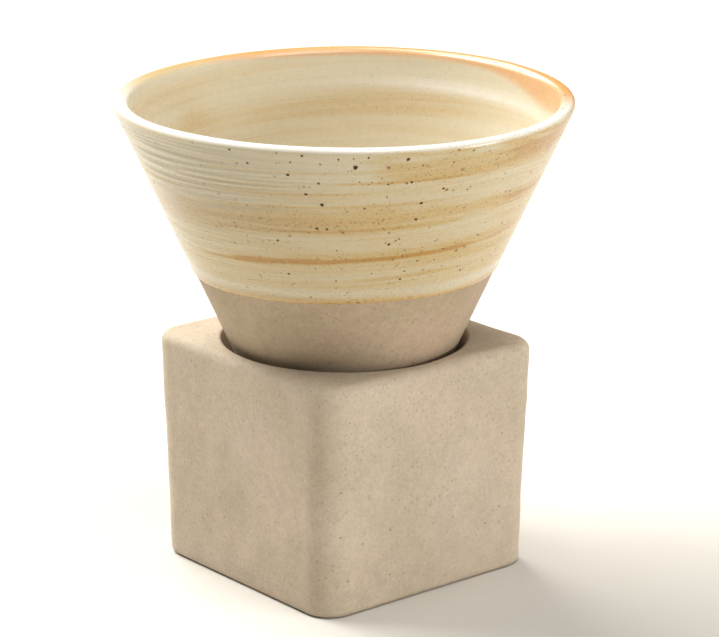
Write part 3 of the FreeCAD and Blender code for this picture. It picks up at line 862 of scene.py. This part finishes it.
def spot_faces(count):
    """Corners of every spot's faces, 4 to a face: two bands of quads, then a fan above and one below."""
    step = np.arange(SPOT_AROUND)
    after = (step + 1) % SPOT_AROUND
    top, under = 3 * SPOT_AROUND, 3 * SPOT_AROUND + 1
    faces = [np.stack([k * SPOT_AROUND + step, k * SPOT_AROUND + after, (k + 1) * SPOT_AROUND + after,
                       (k + 1) * SPOT_AROUND + step], -1) for k in range(2)]
    fans = [np.stack([2 * SPOT_AROUND + step, 2 * SPOT_AROUND + after, 0 * step + top], -1),
            np.stack([after, step, 0 * step + under], -1)]
    shift = (np.arange(count) * (under + 1))[:, None, None]
    quads = (np.concatenate(faces)[None] + shift).reshape(-1, 4)
    triangles = (np.concatenate(fans)[None] + shift).reshape(-1, 3)
    return quads.tolist() + triangles.tolist()


points = spot_points(places)
print("points in a spot:", points.shape[1])

# %% [markdown]
# Melted iron is dark and only half glossy. One colour would look like paint, so an amount stored on the
# points takes each spot from brown at its edge to nearly black in its middle.


# %% Iron spots
def melted_iron():
    """Dark, half-glossy iron: brown at a spot's rim, nearly black in its middle."""
    material, tree, shader = new_material("melted_iron")
    core = add_node(tree, "Attribute", {"attribute_name": "core"}).outputs["Fac"]
    colour = blend_colour(tree, spread(tree, core, 0.0, 0.55), (0.27, 0.135, 0.045), (0.055, 0.030, 0.016))
    tree.links.new(colour, shader.inputs["Base Color"])
    shader.inputs["Roughness"].default_value = 0.5
    shader.inputs["Specular IOR Level"].default_value = 0.25
    print("material melted_iron")
    return material


mesh = bpy.data.meshes.new("iron_spots")
mesh.from_pydata((hand_rim(points) * MM).reshape(-1, 3).tolist(), [], spot_faces(len(places)))
mesh.polygons.foreach_set("use_smooth", np.ones(len(mesh.polygons), bool))
core = np.concatenate([np.repeat(1 - SPOT_RINGS, SPOT_AROUND), [1.0, 0.0]])
layer = mesh.attributes.new("core", "FLOAT", "POINT")
depth = np.clip(places[:, 2:] / 0.40, 0.3, 1)  # small spots stay brown to the middle
layer.data.foreach_set("value", (depth * core).ravel().astype(np.float32))
mesh.materials.append(melted_iron())
iron_spots = bpy.data.objects.new("iron_spots", mesh)
bpy.context.scene.collection.objects.link(iron_spots)
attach(iron_spots, "cup")
print(f"iron_spots: {len(places)} spots, {len(mesh.polygons)} faces")

# %% [markdown]
# The camera stands where a seated guest would see the cup: a little above it, turned to one corner of the
# cube. A long lens keeps the upright edges nearly parallel. Its place is worked out from the angle and
# the distance to a point on the axis.

# %% Camera
RISE = math.radians(16.709)
DISTANCE, AIM, ASIDE = 672.3, 54.29, 3.28  # mm: from the point aimed at, its height, its shift to the right
FOCAL_LENGTH, FILM_WIDTH = 155.92, 36
back = Vector((math.sin(TURN) * math.cos(RISE), -math.cos(TURN) * math.cos(RISE), math.sin(RISE)))
right = Vector((math.cos(TURN), math.sin(TURN), 0))
up = back.cross(right)
lens = bpy.data.cameras.new("guest_view")
lens.sensor_fit = "HORIZONTAL"
lens.sensor_width = FILM_WIDTH
lens.lens = FOCAL_LENGTH
lens.clip_end = 20
camera = bpy.data.objects.new("guest_view", lens)
stand_point = (Vector((0, 0, AIM)) + right * ASIDE + back * DISTANCE) * MM
facing_cup = Matrix((right, up, back)).transposed().to_4x4()
camera.matrix_world = Matrix.Translation(stand_point) @ facing_cup
bpy.context.scene.collection.objects.link(camera)
bpy.context.scene.camera = camera
print("camera at", tuple(round(v, 3) for v in camera.location))

# %% [markdown]
# The cup stands in soft daylight. A large window behind it gives the bright rim and the shadow in front,
# and a smaller one behind to the left lights the cup's left edge. In front, one sheet of light stands low
# at the right, so that the stand's sides and the leaning wall show, and one hangs high and reaches inside
# the cup. One sheet half way up would do for both, but the wall inside the cup would mirror it.

# %% Light
MIDDLE = Vector((0, 0, 0.06))  # what the lights are aimed at
DAYLIGHT, WARM = (1.0, 0.985, 0.96), (1.0, 0.99, 0.97)


def soft_window(name, azimuth, elevation, distance, width, height, power, colour):
    """A rectangular light that faces the cup from an azimuth and elevation in degrees."""
    turn, rise = math.radians(azimuth), math.radians(elevation)
    away = Vector((math.sin(turn) * math.cos(rise), -math.cos(turn) * math.cos(rise), math.sin(rise)))
    light = bpy.data.lights.new(name, "AREA")
    light.shape = "RECTANGLE"
    light.size, light.size_y = width, height
    light.energy = power
    light.color = colour
    lamp = bpy.data.objects.new(name, light)
    lamp.location = MIDDLE + away * distance
    lamp.rotation_euler = away.to_track_quat("Z", "Y").to_euler()
    bpy.context.scene.collection.objects.link(lamp)
    return lamp


soft_window("window", 176, 45, 1.4, 1.0, 1.0, 25, DAYLIGHT)
soft_window("left_window", -150, 58, 1.3, 0.5, 0.4, 12.5, WARM)
soft_window("low_fill", 30, 8, 1.8, 0.6, 0.45, 15.5, WARM)
soft_window("high_fill", 0, 72, 1.8, 1.0, 0.8, 17, WARM)
print("lights:", sorted(lamp.name for lamp in bpy.data.lights))

# %% [markdown]
# The cup stands on a pale, matt floor in a pale room. The room's own light is weak and keeps the shadows
# open. Most of the light on the leaning wall comes back up from the floor, so the floor's colour matters
# as much as any lamp's.

# %% Room and floor
FLOOR_SIZE = 6
world = bpy.data.worlds.new("pale_room")
world.use_nodes = True
world.node_tree.nodes["Background"].inputs[0].default_value = (0.86, 0.88, 0.90, 1)
world.node_tree.nodes["Background"].inputs[1].default_value = 0.24
bpy.context.scene.world = world

floor_mesh = bpy.data.meshes.new("floor")
floor_corners = [(x * FLOOR_SIZE, y * FLOOR_SIZE, 0) for x, y in ((-1, -1), (1, -1), (1, 1), (-1, 1))]
floor_mesh.from_pydata(floor_corners, [], [(0, 1, 2, 3)])
floor = bpy.data.objects.new("floor", floor_mesh)
bpy.context.scene.collection.objects.link(floor)
paper, paper_tree, paper_shader = new_material("pale_paper")
paper_shader.inputs["Base Color"].default_value = (0.64, 0.61, 0.555, 1)
paper_shader.inputs["Roughness"].default_value = 0.9
floor_mesh.materials.append(paper)
bpy.context.scene.view_settings.view_transform = "Standard"
print("floor", 2 * FLOOR_SIZE, "m square")
